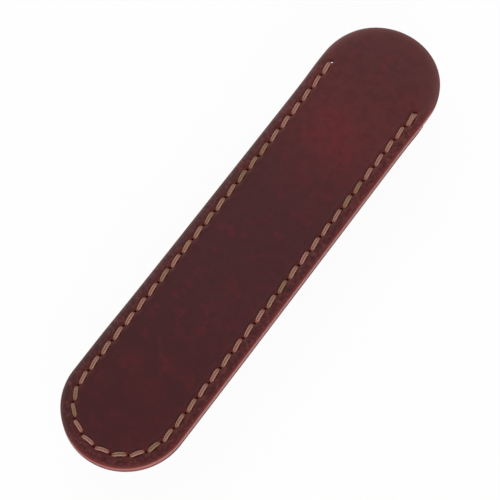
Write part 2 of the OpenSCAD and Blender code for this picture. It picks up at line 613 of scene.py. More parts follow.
def place_piece(mesh: bpy.types.Mesh, stands_for: str) -> bpy.types.Object:
    """Puts a mesh in the scene as the piece that stands for a node of the frame.

    Args:
        mesh: The piece's mesh, in place. The piece takes its name.
        stands_for: The frame's node.
    Returns:
        The object, at the origin.
    """
    piece = bpy.data.objects.new(mesh.name, mesh)
    bpy.context.scene.collection.objects.link(piece)
    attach(piece, "root")
    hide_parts(stands_for)
    return piece


def srgb(code: str) -> tuple[float, float, float, float]:
    """Turns an sRGB hex colour into a linear one, as the sRGB standard says.

    Args:
        code: The colour, such as "#8a4b32".
    Returns:
        Linear red, green, blue and alpha.
    """
    parts = [int(code[i : i + 2], 16) / 255.0 for i in (1, 3, 5)]
    linear = [p / 12.92 if p <= 0.04045 else ((p + 0.055) / 1.055) ** 2.4 for p in parts]
    return (linear[0], linear[1], linear[2], 1.0)


def add_node(tree: bpy.types.NodeTree, kind: str, inputs: dict[Any, Any], **settings: Any) -> bpy.types.Node:
    """Adds a node to a tree with its settings, its sockets' values and its links.

    Args:
        tree: The node tree.
        kind: The node's type name without its "ShaderNode" start.
        inputs: Socket name or number to a value, or to the output socket that it takes.
        settings: The node's own properties.
    Returns:
        The node.
    """
    node = tree.nodes.new("ShaderNode" + kind)
    for key, value in settings.items():
        setattr(node, key, value)
    for key, value in inputs.items():
        if isinstance(value, bpy.types.NodeSocket):
            tree.links.new(value, node.inputs[key])
        else:
            node.inputs[key].default_value = value
    return node


class Recipe:
    """A node material in the making."""

    def __init__(self, name: str) -> None:
        """Starts an empty material.

        Args:
            name: The material's name.
        """
        self.material = bpy.data.materials.new(name)
        self.material.use_nodes = True
        self.tree = self.material.node_tree
        self.tree.nodes.clear()

    def add(self, kind: str, inputs: dict[Any, Any], **settings: Any) -> bpy.types.Node:
        """Adds a node to the material, as add_node does."""
        return add_node(self.tree, kind, inputs, **settings)

    def place(self) -> bpy.types.NodeSocket:
        """Object coordinates, in metres."""
        return self.add("TexCoord", {}).outputs["Object"]

    def attribute(self, name: str) -> bpy.types.NodeSocket:
        """The number that the mesh stores under a name."""
        return self.add("Attribute", {}, attribute_name=name).outputs["Fac"]

    def vector(self, name: str) -> bpy.types.NodeSocket:
        """The vector that the mesh stores under a name."""
        return self.add("Attribute", {}, attribute_name=name).outputs["Vector"]

    def noise(self, where: Any, speckle: Speckle, unit: float = MM) -> Any:
        """Noise between 0 and 1.

        Args:
            where: Coordinates.
            speckle: How coarse and how rough it is.
            unit: A millimetre in the coordinates' own unit.
        Returns:
            The noise's socket.
        """
        scale = 1.0 / (speckle.size * unit)
        sockets = {"Vector": where, "Scale": scale, "Detail": speckle.layers, "Roughness": speckle.strength}
        return self.add("TexNoise", sockets).outputs["Fac"]

    def faded(self, value: Any, fade: Fade) -> Any:
        """The smooth change that a fade gives at a value."""
        sockets = {0: value, 1: fade.low, 2: fade.high, 3: fade.at_low, 4: fade.at_high}
        return self.add("MapRange", sockets, interpolation_type="SMOOTHSTEP").outputs[0]

    def times(self, first: Any, second: Any) -> Any:
        """Product of two numbers."""
        return self.add("Math", {0: first, 1: second}, operation="MULTIPLY").outputs[0]

    def blend(self, share: Any, first: Any, second: Any) -> Any:
        """Mixes two colours, with this share of the second. Colours may be hex codes."""
        colours = [srgb(c) if isinstance(c, str) else c for c in (first, second)]
        return self.add("Mix", {0: share, 6: colours[0], 7: colours[1]}, data_type="RGBA").outputs[2]

    def layers(self, base: str, coats: list[tuple[Any, str]]) -> Any:
        """Lays colours over a base colour, one after another.

        Args:
            base: Hex code of the base.
            coats: The share and the hex code of each colour, from the lowest up.
        Returns:
            The colour's socket.
        """
        colour = base
        for share, code in coats:
            colour = self.blend(share, colour, code)
        return colour

    def bump(self, height: Any, rise_mm: float, strength: Any, under: Any = None) -> Any:
        """Normals of a fine relief, on top of another where one is given.

        Args:
            height: Relief between 0 and 1.
            rise_mm: What 1 stands for, in millimetres.
            strength: How much of it shows.
            under: Normals to start from.
        Returns:
            The normals' socket.
        """
        sockets = {"Strength": strength, "Distance": rise_mm * MM, "Height": height}
        if under is not None:
            sockets["Normal"] = under
        return self.add("Bump", sockets).outputs["Normal"]

    def finished(self, colour: Any, roughness: Any, normal: Any, specular: float) -> bpy.types.Material:
        """Closes the recipe with its shader.

        Args:
            colour: The base colour's socket.
            roughness: The roughness, a number or a socket.
            normal: The normals' socket.
            specular: The specular level, a plain number, as the export drops a linked one.
        Returns:
            The material.
        """
        sockets = {
            "Base Color": colour,
            "Roughness": roughness,
            "Normal": normal,
            "Specular IOR Level": specular,
        }
        shader = self.add("BsdfPrincipled", sockets)
        self.add("OutputMaterial", {"Surface": shader.outputs[0]})
        return self.material


@dataclass(frozen=True)
class PullUpLeather:
    """Oxblood pull-up leather, 1.6 mm, drum-dyed through and stuffed with wax and oil.

    The wax makes the face dark and satin. Where the leather was bent or rubbed the wax has moved aside
    and a redder tone shows, most of all near the mouth. On the rim's rounded shoulder a pale painted
    sheen, standing for a grazing reflection, lies on the side away from the light, and a painted red glow
    on the side turned to it. The cut edge is burnished: paler fibres under a thin film of wax. The back
    panel's edge is painted pale, partly as a highlight, and the front panel's edge under it dark, as
    painted shade. Places, sizes and depths are in millimetres. The pores are drawn coarser than real
    ones, so that they show.
    """

    # Colours, from the closed end up, then of marks and of the cut edge.
    closed_end: str = "#3c0f13"
    middle: str = "#41161a"
    mouth: str = "#521d1e"
    tongue: str = "#502123"
    red: str = "#6b151f"
    shadow: str = "#300c0e"
    worn: str = "#704440"
    hole: str = "#50170f"
    stain: str = "#551c10"
    # Red of the rim, also laid as a painted glow on the rim's shoulder turned to the light.
    bevel: str = "#74332f"
    # Pale painted sheen: a grazing reflection on the rim's shoulder away from the light.
    painted_sheen: str = "#7c686a"
    # Pale of the raw fibres; on the back panel's edge partly a painted highlight.
    raw: str = "#b0736d"
    raw_red: str = "#a8625d"
    # Dark of the cut edge: painted shade where the shade attribute says, and dark fibres.
    raw_dark: str = "#3c1512"
    # Where the marks are. Of lit_side, 0 is the middle line and 1 the edge that is turned to the light.
    flush_x: float = 1.5
    flush_y: float = 47.0
    flush_width: float = 11.0
    flush_length: float = 16.0
    smears: tuple[Spot, ...] = (Spot(-6.0, -50.0, 11.0, 0.65), Spot(11.0, 62.0, 3.2, 1.60))
    mark_depth: float = 1.0
    rub_spread: float = 0.75
    worn_reach: float = 1.3
    worn_place: Fade = Fade(58.0, 68.0)
    # Which side of the rim's shoulder gets the painted glow, and which the painted sheen.
    lit_side: Fade = Fade(0.15, 0.85)
    rim_place: Fade = Fade(2.6, 3.4, 1.0, 0.0)
    rim_past_mouth: Fade = Fade(1.0, 6.0, 1.0, 0.0)
    # Where the tone changes along the strap: darker towards the closed end, partly as painted shade.
    middle_place: Fade = Fade(-70.0, 0.0)
    mouth_place: Fade = Fade(10.0, 52.0)
    tongue_place: Fade = Fade(58.0, 74.0)
    raw_place: Fade = Fade(-78.0, -60.0)
    # Patterns, and how much of each shows.
    patches: Speckle = Speckle(24.0, 3.0, 0.6)
    spots: Speckle = Speckle(5.0, 3.0, 0.6)
    mottle: Speckle = Speckle(3.0, 4.0, 0.7)
    scuffs: Speckle = Speckle(1.0, 3.0, 0.7)
    fibres: Speckle = Speckle(1.2, 3.0, 0.65)
    pores: Speckle = Speckle(0.6, 2.0, 0.5)
    dull_spots: Speckle = Speckle(5.0, 2.0, 0.5)
    crease_size: float = 1.8
    patch_share: Fade = Fade(0.40, 0.66, 0.10, 1.0)
    flush_share: Fade = Fade(0.0, 1.0, 0.10, 0.55)
    spot_share: Fade = Fade(0.52, 0.72, 0.0, 0.28)
    mottle_share: Fade = Fade(0.40, 0.66, 0.0, 0.32)
    dark_scuff_share: Fade = Fade(0.50, 0.64, 0.0, 0.75)
    pale_scuff_share: Fade = Fade(0.48, 0.34, 0.0, 0.42)
    fibre_share: Fade = Fade(0.40, 0.75, 0.0, 0.35)
    hole_share: Fade = Fade(0.35, 0.85)
    rim_share: float = 0.12
    painted_glow_share: float = 0.90
    painted_sheen_share: float = 0.30
    stain_share: float = 0.50
    # Relief and gloss. Fibres run along the cut edge, so they are squeezed across it.
    fibre_squeeze: float = 6.0
    pore_depth: float = 0.05
    pore_strength: float = 0.50
    crease_depth: float = 0.08
    crease_strength: float = 0.22
    fibre_depth: float = 0.10
    fibre_strength: float = 0.5
    satin: Fade = Fade(0.3, 0.7, 0.52, 0.58)
    rub_polish: Fade = Fade(0.0, 1.0, 1.0, 0.75)
    specular: float = 0.22

    def build(self, name: str) -> bpy.types.Material:
        """Builds the material.

        Args:
            name: The material's name.
        Returns:
            The material.
        """
        recipe = Recipe(name)
        place = recipe.place()
        face = self.face_colour(recipe, place)
        raw = recipe.attribute("raw")
        layered = {"Vector": place, "Scale": (1.0, 1.0, self.fibre_squeeze)}
        fibres = recipe.noise(recipe.add("Mapping", layered).outputs[0], self.fibres)
        y = recipe.add("SeparateXYZ", {0: place}).outputs["Y"]
        edge = recipe.blend(recipe.faded(y, self.raw_place.in_metres()), self.raw_red, self.raw)
        # The shade attribute lays painted shade on the cut edge, and the fibres darken it too.
        for share in (recipe.attribute("shade"), recipe.faded(fibres, self.fibre_share)):
            edge = recipe.blend(share, edge, self.raw_dark)
        colour = recipe.blend(raw, face, edge)
        pores = recipe.noise(place, self.pores)
        where = {"Vector": place, "Scale": 1.0 / (self.crease_size * MM)}
        creases = recipe.add("TexVoronoi", where, feature="DISTANCE_TO_EDGE").outputs["Distance"]
        normal = recipe.bump(pores, self.pore_depth, self.pore_strength)
        normal = recipe.bump(creases, self.crease_depth, self.crease_strength, normal)
        normal = recipe.bump(fibres, self.fibre_depth, recipe.times(raw, self.fibre_strength), normal)
        satin = recipe.faded(recipe.noise(place, self.dull_spots), self.satin)
        satin = recipe.times(satin, recipe.faded(recipe.attribute("rubbed"), self.rub_polish))
        return recipe.finished(colour, satin, normal, self.specular)

    def face_colour(self, recipe: Recipe, place: bpy.types.NodeSocket) -> bpy.types.NodeSocket:
        """Colour of the waxed face.

        Its tone changes along the strap. Over that lie red rubbed spots, mottling, scuffs on the rim, a
        painted red glow and a painted sheen on the rim's shoulder, wear at the tongue's edge, and wax stains
        and dark holes along the seam.

        Args:
            recipe: The material in the making.
            place: Object coordinates.
        Returns:
            The colour's socket.
        """
        y = recipe.add("SeparateXYZ", {0: place}).outputs["Y"]
        patches = recipe.faded(recipe.noise(place, self.patches), self.patch_share)
        flush = recipe.faded(recipe.attribute("flush"), self.flush_share)
        rim = recipe.attribute("rim")
        scuffs = recipe.noise(place, self.scuffs)
        coats = [
            # Tone along the strap, darker towards the closed end: partly the leather's own, partly painted
            # shade.
            (recipe.faded(y, self.middle_place.in_metres()), self.middle),
            (recipe.faded(y, self.mouth_place.in_metres()), self.mouth),
            (recipe.faded(y, self.tongue_place.in_metres()), self.tongue),
            (recipe.times(patches, flush), self.red),
            (recipe.faded(recipe.noise(place, self.spots), self.spot_share), self.red),
            (recipe.faded(recipe.noise(place, self.mottle), self.mottle_share), self.shadow),
            (recipe.times(rim, self.rim_share), self.bevel),
            (recipe.times(rim, recipe.faded(scuffs, self.dark_scuff_share)), self.shadow),
            (recipe.times(rim, recipe.faded(scuffs, self.pale_scuff_share)), self.worn),
            # Painted red glow and painted sheen on the rim's shoulder.
            (recipe.attribute("bevel"), self.bevel),
            (recipe.times(recipe.attribute("painted_sheen"), self.painted_sheen_share), self.painted_sheen),
            (recipe.attribute("worn"), self.worn),
            (recipe.times(recipe.attribute("stain"), self.stain_share), self.stain),
            (recipe.faded(recipe.attribute("hole"), self.hole_share), self.hole),
        ]
        return recipe.layers(self.closed_end, coats)


@dataclass(frozen=True)
class WaxedThread:
    """Tan braided sewing thread of about 1 mm, drawn through wax and pulled flat in the seam.

    The wax gives a dull gleam. Along the valley of its flat faces and where the braid's strands cross, it
    is painted darker: painted shade in these grooves, where wax also gathers. Its tone differs from
    stitch to stitch between tan, pink and olive, and where it dives into the holes it gets painted shade.
    """

    tan: str = "#ac7d69"
    pink: str = "#b07b6e"
    olive: str = "#917153"
    wax_and_groove_shade: str = "#5a3524"
    painted_dive_shade: str = "#6a2617"
    pink_share: Fade = Fade(0.4, 1.0)
    olive_share: Fade = Fade(0.0, 0.35, 0.9, 0.0)
    hollow_share: float = 0.85
    groove_share: float = 0.75
    fibres: Speckle = Speckle(0.10, 2.0, 0.5)
    fibre_stretch: float = 0.2
    fibre_depth: float = 0.04
    fibre_strength: float = 0.35
    roughness: float = 0.48
    specular: float = 0.35

    def build(self) -> bpy.types.Material:
        """Builds the material.

        Returns:
            The material.
        """
        recipe = Recipe("waxed_braided_thread")
        tone = recipe.attribute("tone")
        coats = [
            (recipe.faded(tone, self.pink_share), self.pink),
            (recipe.faded(tone, self.olive_share), self.olive),
            # Painted shade in the valley of the flat faces and in the braid's grooves, where wax also
            # gathers.
            (recipe.times(recipe.attribute("hollow"), self.hollow_share), self.wax_and_groove_shade),
            (recipe.times(recipe.attribute("groove"), self.groove_share), self.wax_and_groove_shade),
            # Painted shade where the thread dives into the holes.
            (recipe.attribute("sunk"), self.painted_dive_shade),
        ]
        colour = recipe.layers(self.tan, coats)
        drawn_out = {"Vector": recipe.vector("run"), "Scale": (1.0, 1.0, self.fibre_stretch)}
        lengthwise = recipe.add("Mapping", drawn_out).outputs[0]
        fibres = recipe.noise(lengthwise, self.fibres, unit=1.0)
        normal = recipe.bump(fibres, self.fibre_depth, self.fibre_strength)
        return recipe.finished(colour, self.roughness, normal, self.specular)


@dataclass(frozen=True)
class Stations:
    """Places along a panel's outline: a point on its middle line and the way out from it."""

    base: np.ndarray
    outward: np.ndarray

    @classmethod
    def along(cls, top: float, centre_y: float, step: float, arc: int, ease: np.ndarray) -> "Stations":
        """Stations down the left side, round the closed end and up the right side.

        Args:
            top: Where the straight sides end, in millimetres along Y.
            centre_y: Distance from the middle to the centre of the round end.
            step: Spacing along the straight sides.
            arc: Number of steps round the closed end.
            ease: Distances from the top of the first stations, growing from 0.
        Returns:
            The stations.
        """
        start = top - ease[-1]
        count = int(round((start + centre_y) / step))
        side = np.concatenate([top - ease[:-1], np.linspace(start, -centre_y, count)])
        round_end = np.linspace(np.pi, 2.0 * np.pi, arc + 1)[1:-1]
        turn = np.concatenate([np.full(len(side), np.pi), round_end, np.full(len(side), 2.0 * np.pi)])
        height = np.concatenate([side, np.full(arc - 1, -centre_y), side[::-1]])
        base = np.stack([np.zeros(len(height)), height], axis=1)
        return cls(base, np.stack([np.cos(turn), np.sin(turn)], axis=1))

    def closed_at(self, centre_y: float, arc: int) -> "Stations":
        """The same stations with a round end added at the top, so that they go all the way round.

        Args:
            centre_y: Distance from the middle to the centre of that end.
            arc: Number of steps round it.
        Returns:
            The stations.
        """
        turn = np.linspace(0.0, np.pi, arc + 1)[1:-1]
        base = np.stack([np.zeros(arc - 1), np.full(arc - 1, centre_y)], axis=1)
        outward = np.stack([np.cos(turn), np.sin(turn)], axis=1)
        return Stations(np.vstack([self.base, base]), np.vstack([self.outward, outward]))

    def carry(self, section: np.ndarray) -> np.ndarray:
        """Carries a section along the stations.

        Args:
            section: Array (columns, 2) or (rows, columns, 2) of reach from the middle line and height.
        Returns:
            Array (rows, columns, 3): base + reach times outward, at that height.
        """
        rows = len(self.base)
        section = np.broadcast_to(section, (rows,) + section.shape[-2:])
        flat = self.base[:, None] + section[:, :, :1] * self.outward[:, None]
        return np.concatenate([flat, section[:, :, 1:]], axis=2)


@dataclass(frozen=True)
class Panel:
    """What the two leather panels have in common. Lengths are in millimetres."""

    sizes: SleeveSizes
    seam: Seam
    leather: PullUpLeather
    rounding_steps: int = 6
    awl_past: float = 1.0
    raw_inside: Fade = Fade(0.14, 0.32, 1.0, 0.0)
    smooth_angle: float = 40.0

    def rounding(self, radius: float) -> tuple[np.ndarray, np.ndarray]:
        """A quarter circle from a face to the edge: distances in from the edge and in from the face."""
        turn = np.linspace(0.0, np.pi / 2.0, self.rounding_steps)
        return radius * (1.0 - np.sin(turn)), radius * (1.0 - np.cos(turn))

    def dress(self, mesh: bpy.types.Mesh, side: Side, raw: np.ndarray, shade: np.ndarray) -> None:
        """Marks a panel's holes, stitch beds, rim and cut edge, drapes it and gives it its leather.

        The marks of the seam die away as a bell of the depth under the face, and the rub on the rim also
        as a bell of the distance from the edge. The flush near the mouth is a bell of the distance from
        its middle, measured in its half width and half length, and the smears join it where they are
        stronger.

        Args:
            mesh: The panel's mesh, undraped.
            side: The face that its stitches lie on.
            raw: How much each point lies on a cut edge, array (n,).
            shade: Painted shade of that edge, from 0, pale, to 1, dark, array (n,).
        """
        s, skin = self.sizes, self.leather
        points = mesh_points(mesh)
        x, y, _ = points.T
        inside = s.from_edge(points)
        face = s.back_z if side is Side.UPPER else s.rim_z
        on_face = bell(points[:, 2] - face, skin.mark_depth)
        relief = self.seam.relief(points[:, :2], side)
        rubbed = bell(inside.clip(0.0), skin.rub_spread) * on_face * (1.0 - raw)
        past = y - y.clip(-s.centre_y, s.centre_y)
        to_light = skin.lit_side.of((x - past) / s.edge)
        middle = np.hypot((x - skin.flush_x) / skin.flush_width, (y - skin.flush_y) / skin.flush_length)
        flush = bell(middle, 1.0)
        for smear in skin.smears:
            flush = np.maximum(flush, smear.at(x, y))
        marks = {
            "hole": relief.hole * on_face,
            "stain": relief.stain * on_face,
            "rubbed": rubbed,
            # Painted light on the rim's shoulder: a red glow on the side turned to the light, and a pale
            # sheen standing for a grazing reflection on the other.
            "bevel": rubbed * skin.painted_glow_share * to_light,
            "painted_sheen": rubbed * (1.0 - to_light),
            "rim": skin.rim_place.of(inside) * skin.rim_past_mouth.moved(s.mouth_y).of(y),
            "worn": np.exp(-inside.clip(0.0) / skin.worn_reach) * skin.worn_place.of(y),
            "flush": flush,
            "raw": raw,
            "shade": shade,
        }
        for name, values in marks.items():
            set_numbers(mesh, name, values)
        set_points(mesh, s.drape(points))
        shade_smooth(mesh, self.smooth_angle)
        mesh.materials.append(skin.build(mesh.name))


@dataclass(frozen=True)
class BackPanel(Panel):
    """The long plain panel that is seen from above, with both ends half-round."""

    step: float = 0.40
    arc_steps: int = 150
    rim_zone: float = 7.0
    joint_gap: float = 0.01
    inner_steps: int = 16
    rim_steps: int = 36
    side_steps: int = 7
    lower_steps: int = 14
    dent_over_joint: float = 0.7
    dent_under_face: float = 0.3
    right_side: Fade = Fade(0.55, 0.95)
    right_raw: float = 0.14
    right_shade: float = 0.08
    raw_below_face: Fade = Fade(-0.52, -0.36, 1.0, 0.0)
    tongue_shade: Fade = Fade(1.5, 8.0, 0.0, 0.67)

    def section(self) -> np.ndarray:
        """Half of the panel's section, from the middle over the upper face, round the edge and back.

        The side between the rounded corners is domed: it reaches edge_dome (1 - u^2) further out, with u
        from -1 to 1 up it. Towards the edge the whole thickness is pressed down by up to edge_drop.

        Returns:
            Array (n, 2) of reach and height.
        """
        s = self.sizes
        low = s.joint_z + self.joint_gap
        inner = np.linspace(0.0, s.edge - self.rim_zone, self.inner_steps)[:-1]
        rim = np.linspace(s.edge - self.rim_zone, s.edge - s.edge_radius, self.rim_steps)[:-1]
        upper = np.concatenate([inner, rim])
        top_in, top_down = self.rounding(s.edge_radius)
        foot_in, foot_up = self.rounding(s.edge_radius / 2.0)
        side_z = np.linspace(s.back_z - s.edge_radius, low + s.edge_radius / 2.0, self.side_steps)[1:-1]
        side = np.full(len(side_z), s.edge)
        lower = np.linspace(s.edge - s.edge_radius, 0.0, self.lower_steps)
        reach = np.concatenate([upper, s.edge - top_in, side, s.edge - foot_in[::-1], lower])
        heights = [np.full(len(upper), s.back_z), s.back_z - top_down, side_z]
        heights += [low + foot_up[::-1], np.full(len(lower), low)]
        height = np.concatenate(heights)
        share = (height - low) / (s.back_z - low)
        outer = smoothstep(s.edge - s.edge_radius, s.edge, reach)
        reach = reach + s.edge_dome * outer * (1.0 - (2.0 * share - 1.0) ** 2)
        height = height - s.edge_drop * share * np.exp(-np.maximum(s.edge - reach, 0.0) / s.edge_reach)
        return np.stack([reach, height], axis=1)

    def build(self) -> bpy.types.Object:
        """Builds and dresses the panel.

        The section is carried all the way round the outline. The upper face is dented as the seam's
        relief says, fading to nothing towards the joint. The cut edge is raw below its bevel, and a little
        further up and in at the right, where it also gets a little painted shade. Past the mouth it gets
        much painted shade.

        Returns:
            The piece.
        """
        s = self.sizes
        stations = Stations.along(s.centre_y, s.centre_y, self.step, self.arc_steps, np.zeros(1))
        stations = stations.closed_at(s.centre_y, self.arc_steps)
        section = self.section()
        rows, columns = len(stations.base), len(section)
        points = stations.carry(section).reshape(-1, 3)
        dented = Fade(s.joint_z + self.dent_over_joint, s.back_z - self.dent_under_face).of(points[:, 2])
        points[:, 2] -= self.seam.relief(points[:, :2], Side.UPPER).depth * dented
        mesh = closed_mesh("back_panel_leather", points, grid_quads(rows, columns, True, False))
        mesh = cut(mesh, self.seam.awl(s.joint_z - self.awl_past, s.back_z + self.awl_past, slice(None)))
        points = mesh_points(mesh)
        rightwards = self.right_side.of(points[:, 0] / s.edge)
        wider = self.right_raw * rightwards
        raw = self.raw_inside.of(s.from_edge(points) - wider)
        raw *= self.raw_below_face.moved(s.back_z).of(points[:, 2] - wider)
        # Painted shade on the cut edge: a little at the right, much past the mouth.
        shade = self.right_shade * rightwards + self.tongue_shade.moved(s.mouth_y).of(points[:, 1])
        self.dress(mesh, Side.UPPER, raw, shade)
        return place_piece(mesh, "back_panel")


@dataclass(frozen=True)
class FrontPanel(Panel):
    """The shorter panel underneath, formed over a pen, with a straight mouth."""

    step: float = 0.45
    arc_steps: int = 130
    flat_steps: int = 4
    crest_steps: int = 15
    wall_steps: int = 7
    bend_steps: int = 11
    rim_steps: int = 26
    dent_over_rim: Fade = Fade(0.1, 0.4, 1.0, 0.0)
    dent_from_edge: Fade = Fade(-1.0, 0.0, 1.0, 0.0)
    mouth_cut: Fade = Fade(-0.22, -0.06)
    end_length: float = 4.0
    end_shade: float = 0.58
    side_shade: float = 0.85

    def faces(self) -> tuple[np.ndarray, np.ndarray]:
        """Half of the formed section as matching points on the outer and inner faces.

        From the middle out: the flat crest, an arc round the pen, a straight wall tangent to it, the bend
        into the rim, the flat rim and its rounded edge.

        Returns:
            Outer and inner faces, arrays (n, 2) of reach and height.
        """
        s = self.sizes
        t, pen, bend = s.front_thickness, s.pen_radius, s.rim_bend
        rim_edge, radii = s.half_width - s.rim_width, s.pen_radius + s.rim_bend + s.front_thickness
        across, up = rim_edge - s.crest_half, s.rim_z - radii
        wall = np.arctan2(up, across) + np.arcsin(radii / np.hypot(across, up))
        crest_centre = np.array([s.crest_half, t + pen])
        rim_centre = np.array([rim_edge, s.rim_z - bend])
        outer = self.face(crest_centre, pen + t, rim_centre, bend, wall, s.rim_z, 1.0)
        inner = self.face(crest_centre, pen, rim_centre, bend + t, wall, s.joint_z, -1.0)
        return outer, inner

    def face(
        self,
        crest_centre: np.ndarray,
        crest_radius: float,
        rim_centre: np.ndarray,
        bend_radius: float,
        wall: float,
        rim_height: float,
        inwards: float,
    ) -> np.ndarray:
        """One face of the formed section.

        Args:
            crest_centre: Centre of the arc round the pen.
            crest_radius: Its radius.
            rim_centre: Centre of the bend into the rim.
            bend_radius: Its radius.
            wall: Slope of the straight wall, in radians.
            rim_height: Height of the rim's face.
            inwards: 1 where the leather is above this face, -1 where it is below.
        Returns:
            Array (n, 2) of reach and height.
        """
        s = self.sizes
        crest_turn = np.linspace(-np.pi / 2.0, wall - np.pi / 2.0, self.crest_steps)[:, None]
        crest = crest_centre + crest_radius * np.hstack([np.cos(crest_turn), np.sin(crest_turn)])
        bend_turn = np.linspace(wall + np.pi / 2.0, np.pi / 2.0, self.bend_steps)[:, None]
        bend = rim_centre + bend_radius * np.hstack([np.cos(bend_turn), np.sin(bend_turn)])
        share = np.linspace(0.0, 1.0, self.wall_steps)[1:-1, None]
        straight = crest[-1] + share * (bend[0] - crest[-1])
        flat_reach = np.linspace(0.0, s.crest_half, self.flat_steps)[:-1]
        flat = np.stack([flat_reach, np.full(len(flat_reach), crest[0, 1])], axis=1)
        outermost = s.edge + s.front_proud
        rim_reach = np.linspace(rim_centre[0], outermost - s.edge_radius, self.rim_steps)[1:-1]
        rim = np.stack([rim_reach, np.full(len(rim_reach), rim_height)], axis=1)
        edge_in, edge_up = self.rounding(s.edge_radius)
        edge = np.stack([outermost - edge_in, rim_height + inwards * edge_up], axis=1)
        return np.vstack([flat, crest, straight, bend, rim, edge])

    def build(self) -> bpy.types.Object:
        """Builds and dresses the panel.

        The section is carried down one side, round the closed end and up the other. At the mouth the cut
        edge is rounded: with near from 0 to 1 over the last edge_radius, each face comes in by
        edge_radius (1 - sqrt(1 - near^2)). The rim is dented as the seam's relief says.

        Returns:
            The piece.
        """
        s = self.sizes
        outer, inner = self.faces()
        ease = self.rounding(s.edge_radius)[1]
        stations = Stations.along(s.mouth_y, s.centre_y, self.step, self.arc_steps, ease)
        near = np.clip(1.0 - (s.mouth_y - stations.base[:, 1]) / s.edge_radius, 0.0, 1.0)
        narrowing = s.edge_radius / s.front_thickness * (1.0 - np.sqrt(1.0 - near**2))
        narrowing = narrowing[:, None, None] * (inner - outer)
        loop = np.concatenate([inner - narrowing, (outer + narrowing)[:, ::-1]], axis=1)
        rows, columns = loop.shape[:2]
        points = stations.carry(loop).reshape(-1, 3)
        dented = self.dent_from_edge.moved(s.rim_width).of(s.from_edge(points))
        dented *= self.dent_over_rim.moved(s.rim_z).of(points[:, 2])
        points[:, 2] += self.seam.relief(points[:, :2], Side.LOWER).depth * dented
        quads = grid_quads(rows, columns, False, False)
        caps = [self.mouth_cap(row * columns, columns) for row in (0, rows - 1)]
        mesh = closed_mesh("front_panel_leather", points, np.vstack([quads, *caps]))
        mesh = cut(mesh, self.seam.awl(s.rim_z - self.awl_past, s.joint_z + self.awl_past, slice(1, -1)))
        points = mesh_points(mesh)
        corner = smoothstep(s.mouth_y - s.corner_length, s.mouth_y, points[:, 1])
        points[:, 0] *= 1.0 - s.corner_ease / s.half_width * corner
        set_points(mesh, points)
        edge = self.raw_inside.of(s.from_edge(points) + s.front_proud)
        raw = np.maximum(edge, self.mouth_cut.moved(s.mouth_y).of(points[:, 1]))
        # Painted shade on the front panel's cut edge, under the back panel's pale one; less round the closed
        # end.
        round_end = Fade(self.end_length - s.half_length, -s.centre_y, self.end_shade, self.side_shade)
        self.dress(mesh, Side.LOWER, raw, round_end.of(points[:, 1]))
        return place_piece(mesh, "front_panel")

    @staticmethod
    def mouth_cap(first: int, columns: int) -> np.ndarray:
        """Closes the cut mouth between the inner and outer faces of one row.

        Args:
            first: The row's first point.
            columns: Number of points in a row.
        Returns:
            Quads, array (m, 4).
        """
        j = np.arange(columns // 2 - 1)
        last = first + columns - 1
        return np.stack([first + j, first + j + 1, last - j - 1, last - j], axis=1)


@dataclass(frozen=True)
class ThreadRun:
    """Rings of the thread along its way: centre, sideways direction, half sizes and tone."""

    centre: np.ndarray
    across: np.ndarray
    half_width: np.ndarray
    half_height: np.ndarray
    tone: np.ndarray
    sunk: np.ndarray

    def rows(self) -> tuple[np.ndarray, ...]:
        """The values, in the order of the fields."""
        return (self.centre, self.across, self.half_width, self.half_height, self.tone, self.sunk)

    def picked(self, which: Any) -> "ThreadRun":
        """Some of the rings, by mask or slice."""
        return ThreadRun(*(row[which] for row in self.rows()))

    def reversed(self) -> "ThreadRun":
        """The same rings, travelled the other way."""
        return self.picked(slice(None, None, -1))

    @staticmethod
    def joined(runs: list["ThreadRun"]) -> "ThreadRun":
        """One run after another."""
        return ThreadRun(*(np.concatenate(rows) for rows in zip(*(run.rows() for run in runs))))


